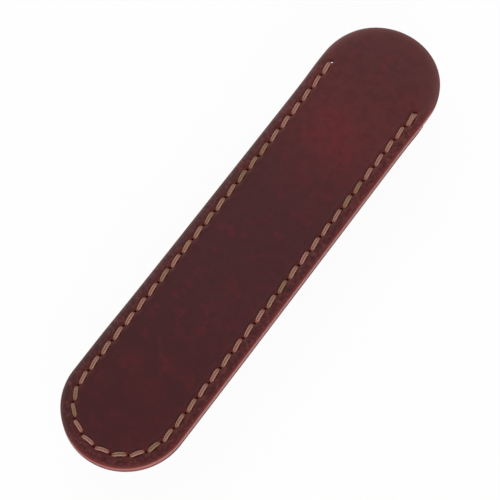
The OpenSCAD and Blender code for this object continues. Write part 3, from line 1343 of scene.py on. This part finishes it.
@dataclass(frozen=True)
class SaddleThread:
    """One waxed thread whose two ends both work along the seam and pass each other in every hole.

    Lengths are in millimetres. The fields named for luck say how far a stitch's width, height and bow
    differ from those of the next. Of mouth_lead, each pair is a distance from the end hole towards the
    sleeve and a height over the joint.
    """

    sizes: SleeveSizes
    seam: Seam
    finish: WaxedThread
    sink: float = 0.95
    crest: float = 0.30
    wide: float = 0.60
    tall: float = 0.35
    narrow: float = 0.29
    fullness: float = 1.75
    upper_rings: int = 34
    lower_rings: int = 22
    sides: int = 22
    cross_mm: float = 0.80
    groove_depth: float = 0.14
    groove_width: float = 0.38
    # How dark the painted shade in the braid's grooves is, more in the valley of the flat faces; wax also
    # gathers there.
    groove_shade_and_wax: float = 0.30
    middle_shade_and_wax: float = 0.70
    valley: float = 0.30
    valley_width: float = 0.55
    hollow_width: float = 0.36
    fibre_radius: float = 0.4
    tail: float = 0.5
    tail_rings: int = 4
    squeeze: float = 0.68
    least_width: float = 0.93
    width_luck: float = 0.14
    height_luck: float = 0.10
    bow_luck: float = 0.12
    spread_place: Fade = Fade(0.22, 0.92)
    # Where the thread is given painted shade as it dives below the face.
    sunk_place: Fade = Fade(-0.50, -0.10, 1.0, 0.0)
    mouth_lead: tuple[tuple[float, float], ...] = ((0.0, 0.55), (0.30, -0.15), (0.75, -0.60))
    mouth_gap: float = 0.10
    mouth_rise: float = 0.1
    mouth_rings: int = 6
    mouth_ease: Fade = Fade(0.0, 0.7)
    least_step: float = 0.02
    smooth_angle: float = 60.0

    def stitch(
        self,
        start: np.ndarray,
        end: np.ndarray,
        side: Side,
        hand: float,
        luck: np.ndarray,
        squeeze: float = 1.0,
    ) -> ThreadRun:
        """One stitch between two holes.

        It follows half of a superellipse that stands on both holes: with turn going from 0 to pi, it lies
        at -cos(turn)^(2/n) of the half length and rises by sin(turn)^(2/n) of the full rise, where n is
        the fullness. It bows sideways with the square of its rise. It is pulled flat in its middle and
        round and narrow where it dives.

        Args:
            start: Where it leaves its hole, array (2,).
            end: Where it enters the next.
            side: The face that it lies on.
            hand: 1 or -1, which side the sideways direction points to.
            luck: Four numbers from 0 to 1 that vary its tone, width, height and bow.
            squeeze: Share of the full width, less than 1 where two lie together.
        Returns:
            The stitch.
        """
        s = self.sizes
        face = s.back_z if side is Side.UPPER else s.rim_z
        turn = np.linspace(0.0, np.pi, self.upper_rings if side is Side.UPPER else self.lower_rings)
        power = 2.0 / self.fullness
        along = -np.sign(np.cos(turn)) * np.abs(np.cos(turn)) ** power
        rise = np.sin(turn).clip(0.0) ** power
        half = (end - start) / 2.0
        way = half / np.linalg.norm(half)
        left = np.array([-way[1], way[0]])
        bow = self.bow_luck * (luck[3] - 0.5) * rise**2
        flat = (start + end) / 2.0 + along[:, None] * half + bow[:, None] * left
        crest = self.crest + self.height_luck * (luck[2] - 0.5)
        above = rise * (self.sink + crest) - self.sink
        wide = self.wide * (self.least_width + self.width_luck * luck[1]) * squeeze
        spread = self.spread_place.of(rise)
        return ThreadRun(
            np.column_stack([flat, face + side.value * above]),
            np.tile(hand * np.array([left[0], left[1], 0.0]), (len(turn), 1)),
            self.narrow + (wide - self.narrow) * spread,
            self.narrow + (self.tall - self.narrow) * spread,
            np.full(len(turn), luck[0]),
            # Painted shade on the stitch's ends, where it dives below the face.
            self.sunk_place.of(above),
        )

    def round_mouth(self, run: ThreadRun) -> ThreadRun:
        """Bends a lower stitch that starts at an end hole round the front panel's mouth edge.

        The end holes lie past the mouth. So the strand first comes straight down behind the mouth's edge,
        turns under it on a quarter circle, and then eases into the stitch.

        Args:
            run: The lower stitch, starting at the end hole.
        Returns:
            The bent stitch, with as many rings.
        """
        s = self.sizes
        hole = run.centre[0, :2]
        inward = run.centre[-1, :2] - hole
        inward /= np.linalg.norm(inward)
        reach = (hole[1] - s.mouth_y) / abs(inward[1])
        gap = self.tall + self.mouth_gap
        turn = np.linspace(np.pi / 2.0, 0.0, self.mouth_rings)
        turn_z = s.rim_z + self.mouth_rise
        corner = np.column_stack([reach - gap * np.sin(turn), turn_z - gap * np.cos(turn)])
        knots = np.vstack([np.array(self.mouth_lead) + [0.0, s.joint_z], corner])
        length = np.concatenate([[0.0], np.cumsum(np.linalg.norm(np.diff(knots, axis=0), axis=1))])
        half = self.lower_rings // 2
        samples = np.linspace(0.0, length[-1], half)
        distance = np.interp(samples, length, knots[:, 0])
        centre = run.centre.copy()
        centre[:half, :2] = hole + distance[:, None] * inward
        centre[:half, 2] = np.interp(samples, length, knots[:, 1])
        share = np.linspace(0.0, 1.0, len(centre) - half + 1)[1:, None]
        line = centre[half - 1] + share * (run.centre[-1] - centre[half - 1])
        ease = self.mouth_ease.of(share)
        centre[half:] = line * (1.0 - ease) + run.centre[half:] * ease
        centre[half:, :2] = line[:, :2]
        return ThreadRun(centre, *run.rows()[1:])

    def tail_of(self, run: ThreadRun, height: float) -> ThreadRun:
        """The trimmed end below the last hole of a run.

        Args:
            run: The run.
            height: Where the end is cut off.
        Returns:
            A few rings straight down to that height.
        """
        last = run.picked(slice(-1, None))
        rings = ThreadRun.joined([last] * self.tail_rings)
        centre = rings.centre.copy()
        centre[:, 2] = np.linspace(centre[0, 2], height, self.tail_rings + 1)[1:]
        return ThreadRun(centre, *rings.rows()[1:])

    def strand(self, odd: int, luck: np.ndarray) -> ThreadRun:
        """One of the two strands, from the left of the mouth round to its right.

        Args:
            odd: 0 for the strand that lies on top in the even stitches, 1 for the other.
            luck: Array (stitches, 4) of numbers from 0 to 1.
        Returns:
            The strand.
        """
        runs = []
        for k in range(self.seam.stitches):
            side = Side.UPPER if k % 2 == odd else Side.LOWER
            starts, ends = self.seam.stitch_ends(side)
            squeeze = self.squeeze if side is Side.UPPER and k == self.seam.stitches - 1 else 1.0
            run = self.stitch(starts[k], ends[k], side, 1.0, luck[k], squeeze)
            if side is Side.LOWER and k == 0:
                run = self.round_mouth(run)
            if side is Side.LOWER and k == self.seam.stitches - 1:
                run = self.round_mouth(run.reversed()).reversed()
            runs.append(run)
        return ThreadRun.joined(runs)

    def path(self) -> ThreadRun:
        """Lays the whole thread.

        Returns:
            Its rings, from one tail to the other.
        """
        s, seam = self.sizes, self.seam
        luck = np.random.default_rng(SEED).random((3, seam.stitches, 4))
        first, second = self.strand(0, luck[0]), self.strand(1, luck[1])
        starts, ends = seam.stitch_ends(Side.UPPER)
        doubled = self.stitch(starts[-1], ends[-1], Side.UPPER, -1.0, luck[2, 0], self.squeeze)
        first = ThreadRun.joined([first, doubled, self.tail_of(doubled, s.rim_z - self.tail)])
        second = ThreadRun.joined([second, self.tail_of(second, s.joint_z - self.tail)])
        whole = ThreadRun.joined([second.reversed(), first])
        step = np.linalg.norm(np.diff(whole.centre, axis=0), axis=1)
        return whole.picked(np.concatenate([[True], step > self.least_step]))

    def build(self) -> bpy.types.Object:
        """Builds and dresses the thread.

        Round each ring the surface lies on an ellipse of its half sizes. A shallow valley runs along its
        two flat faces, where a hollow braid is pulled in: the height is less by valley times a bell of the
        cosine of the angle. The braid's grooves are two families of helices, where sin(pi length /
        cross_mm + angle) or sin(pi length / cross_mm - angle) is 0, each a bell wide.

        Returns:
            The piece.
        """
        run = self.path()
        centre = run.centre
        length = np.concatenate([[0.0], np.cumsum(np.linalg.norm(np.diff(centre, axis=0), axis=1))])
        tangent = np.gradient(centre, axis=0)
        tangent /= np.linalg.norm(tangent, axis=1, keepdims=True)
        across = run.across - (run.across * tangent).sum(axis=1, keepdims=True) * tangent
        across /= np.linalg.norm(across, axis=1, keepdims=True)
        upward = np.cross(tangent, across)
        angle = np.linspace(0.0, 2.0 * np.pi, self.sides, endpoint=False)[None, :]
        phase = np.pi * length[:, None] / self.cross_mm
        helices = (np.sin(phase + angle), np.sin(phase - angle))
        lines = np.maximum(*(bell(helix, self.groove_width) for helix in helices))
        middle = bell(np.cos(angle), self.valley_width)
        drawn_in = 1.0 - self.groove_depth * lines
        wide = run.half_width[:, None] * np.cos(angle) * drawn_in
        tall = run.half_height[:, None] * np.sin(angle) * drawn_in * (1.0 - self.valley * middle)
        grid = centre[:, None] + wide[:, :, None] * across[:, None] + tall[:, :, None] * upward[:, None]
        rows, n = grid.shape[:2]
        i = np.arange(n)
        tips = [np.stack([i, (i + 1) % n, np.full(n, rows * n)], axis=1)]
        last_ring = (rows - 1) * n
        tips.append(np.stack([last_ring + (i + 1) % n, last_ring + i, np.full(n, rows * n + 1)], axis=1))
        mesh = bpy.data.meshes.new("saddle_thread_waxed")
        points = self.sizes.drape(np.vstack([grid.reshape(-1, 3), centre[:1], centre[-1:]]))
        faces = grid_quads(rows, n, False, True).tolist() + np.vstack(tips).tolist()
        mesh.from_pydata((points * MM).tolist(), [], faces)
        face_outwards(mesh)
        # Where painted shade lies in the braid's grooves, most in the valley of the flat faces.
        groove = (lines * (self.groove_shade_and_wax + self.middle_shade_and_wax * middle)).reshape(-1)
        hollow = np.broadcast_to(bell(np.cos(angle), self.hollow_width), (rows, n)).reshape(-1)
        ring_place = [self.fibre_radius * np.cos(angle), self.fibre_radius * np.sin(angle), length[:, None]]
        place = np.stack([np.broadcast_to(row, (rows, n)) for row in ring_place], axis=2).reshape(-1, 3)
        set_vectors(mesh, "run", np.vstack([place, place[:1], place[-1:]]))
        for name, values in (
            ("tone", np.repeat(run.tone, n)),
            ("sunk", np.repeat(run.sunk, n)),
            ("groove", groove),
            ("hollow", hollow),
        ):
            set_numbers(mesh, name, np.concatenate([values, values[:1], values[-1:]]))
        shade_smooth(mesh, self.smooth_angle)
        mesh.materials.append(self.finish.build())
        log.info("thread: %.0f mm long, %d rings", length[-1], rows)
        return place_piece(mesh, "saddle_thread")


@dataclass(frozen=True)
class Softbox:
    """A square soft lamp that faces the sleeve, in degrees, watts and metres."""

    name: str
    azimuth: float
    elevation: float
    power: float
    distance: float = 1.4
    size: float = 0.9


@dataclass(frozen=True)
class Studio:
    """White table, soft lamps and the camera at the photograph's place."""

    azimuth: float = 35.32
    elevation: float = 65.98
    distance: float = 0.6157
    target: tuple[float, float, float] = (0.0, -0.00324, 0.0124)
    focal_px: float = 2091.0
    image_px: float = 500.0
    pixel_offset: float = 0.5
    sensor: float = 36.0
    nearest: float = 0.01
    farthest: float = 60.0
    floor_half: float = 20.0
    floor_colour: str = "#f0f0f0"
    white: str = "#ffffff"
    world_strength: float = 0.56
    floor_glow: float = 0.95
    key: Softbox = Softbox("key_softbox", azimuth=235.0, elevation=36.0, power=8.0)
    fill: Softbox = Softbox("fill_softbox", azimuth=45.0, elevation=20.0, power=12.0)

    def direction(self, azimuth: float, elevation: float) -> Vector:
        """Unit vector towards a place seen at an azimuth and an elevation, in degrees."""
        a, e = radians(azimuth), radians(elevation)
        return Vector((np.sin(a) * np.cos(e), -np.cos(a) * np.cos(e), np.sin(e)))

    def facing(self, name: str, data: Any, azimuth: float, elevation: float, distance: float) -> Any:
        """Puts a camera or a lamp in the scene, facing the sleeve.

        Args:
            name: The object's name.
            data: The camera or lamp.
            azimuth: Where it stands, in degrees.
            elevation: How high, in degrees.
            distance: How far from the sleeve, in metres.
        Returns:
            The object.
        """
        item = bpy.data.objects.new(name, data)
        bpy.context.scene.collection.objects.link(item)
        out = self.direction(azimuth, elevation)
        item.location = Vector(self.target) + out * distance
        item.rotation_euler = (-out).to_track_quat("-Z", "Y").to_euler()
        return item

    def camera(self) -> None:
        """Makes the camera. The photograph was measured from its first pixel's centre, not its corner."""
        data = bpy.data.cameras.new("camera")
        data.sensor_width = self.sensor
        data.lens = self.focal_px / self.image_px * self.sensor
        data.shift_x = -self.pixel_offset / self.image_px
        data.shift_y = self.pixel_offset / self.image_px
        data.clip_start, data.clip_end = self.nearest, self.farthest
        camera = self.facing("camera", data, self.azimuth, self.elevation, self.distance)
        bpy.context.scene.camera = camera

    def lamp(self, box: Softbox) -> None:
        """Adds a soft lamp.

        Args:
            box: The lamp's place, size and power.
        """
        data = bpy.data.lights.new(box.name, "AREA")
        data.shape, data.size, data.energy = "SQUARE", box.size, box.power
        self.facing(box.name, data, box.azimuth, box.elevation, box.distance)

    def table(self) -> None:
        """Adds the white table, which shows nearly white to the camera and keeps a soft shadow."""
        half = self.floor_half
        corners = [(-half, -half, 0.0), (half, -half, 0.0), (half, half, 0.0), (-half, half, 0.0)]
        mesh = bpy.data.meshes.new("table")
        mesh.from_pydata(corners, [], [(0, 1, 2, 3)])
        table = bpy.data.objects.new("table", mesh)
        bpy.context.scene.collection.objects.link(table)
        recipe = Recipe("white_card")
        card = recipe.add("BsdfDiffuse", {"Color": srgb(self.floor_colour)})
        glow = recipe.add("Emission", {"Color": srgb(self.white), "Strength": 1.0})
        rays = recipe.add("LightPath", {}).outputs
        seen = rays["Is Camera Ray"]
        for kind in ("Is Glossy Ray", "Is Transmission Ray"):
            seen = recipe.add("Math", {0: seen, 1: rays[kind]}, operation="MAXIMUM").outputs[0]
        seen = recipe.times(seen, self.floor_glow)
        both = recipe.add("MixShader", {0: seen, 1: card.outputs[0], 2: glow.outputs[0]})
        recipe.add("OutputMaterial", {"Surface": both.outputs[0]})
        mesh.materials.append(recipe.material)

    def surroundings(self) -> None:
        """Sets the even pale light of a studio tent."""
        world = bpy.data.worlds.new("studio_tent")
        world.use_nodes = True
        tree = world.node_tree
        tree.nodes.clear()
        pale = add_node(tree, "Background", {"Color": srgb(self.white), "Strength": self.world_strength})
        add_node(tree, "OutputWorld", {"Surface": pale.outputs[0]})
        bpy.context.scene.world = world

    def build(self) -> None:
        """Builds the whole studio."""
        self.camera()
        self.table()
        self.surroundings()
        self.lamp(self.key)
        self.lamp(self.fill)
        bpy.context.scene.view_settings.view_transform = "Standard"


def main() -> None:
    """Builds the studio and the sleeve's pieces, in order."""
    logging.basicConfig(level=logging.INFO, format="%(name)s: %(message)s")
    Studio().build()
    sizes = SleeveSizes.from_frame()
    seam = Seam(sizes)
    leather = PullUpLeather()
    builders = (
        BackPanel(sizes, seam, leather),
        FrontPanel(sizes, seam, leather),
        SaddleThread(sizes, seam, WaxedThread()),
    )
    for builder in builders:
        piece = builder.build()
        log.info("%s: %d faces", piece.name, len(piece.data.polygons))


if __name__ == "__main__":
    main()
